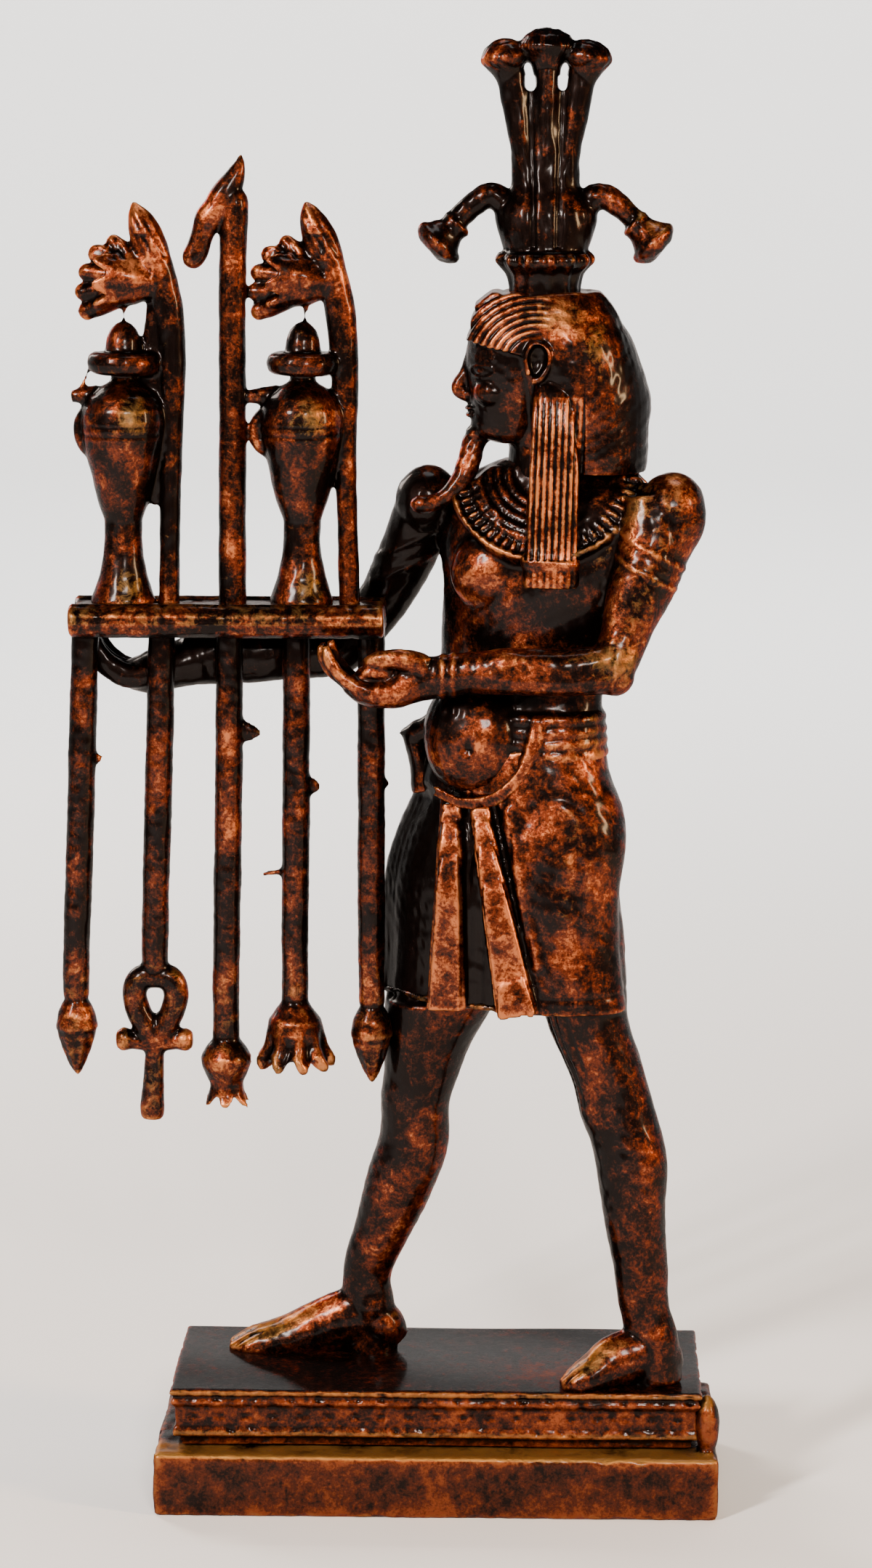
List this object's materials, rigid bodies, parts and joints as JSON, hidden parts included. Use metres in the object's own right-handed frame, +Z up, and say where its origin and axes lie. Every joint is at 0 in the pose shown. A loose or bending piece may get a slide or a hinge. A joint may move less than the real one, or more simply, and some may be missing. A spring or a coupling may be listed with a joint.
{
  "type": "egyptian god statue",
  "caption": "Striding Egyptian river god in bronzed resin, carrying an offering tray with vases, flowers and hanging stems, on an oblong plinth.",
  "frame": {"origin": "centre of the plinth's underside", "axes": "+Z up, -X the way the god walks, -Y towards the side that is looked at"},
  "size_m": [0.1146, 0.0428, 0.2502],
  "materials": {
    "bronzed_resin": "cast resin under black and copper bronze paint, glossy varnish",
    "dark_resin": "cast resin under dark bronze paint with a rubbed gold ledge, glossy varnish"
  },
  "bodies": {
    "root": {"statue": "bronzed_resin", "plinth_block": "dark_resin"}
  },
  "joints": []
}
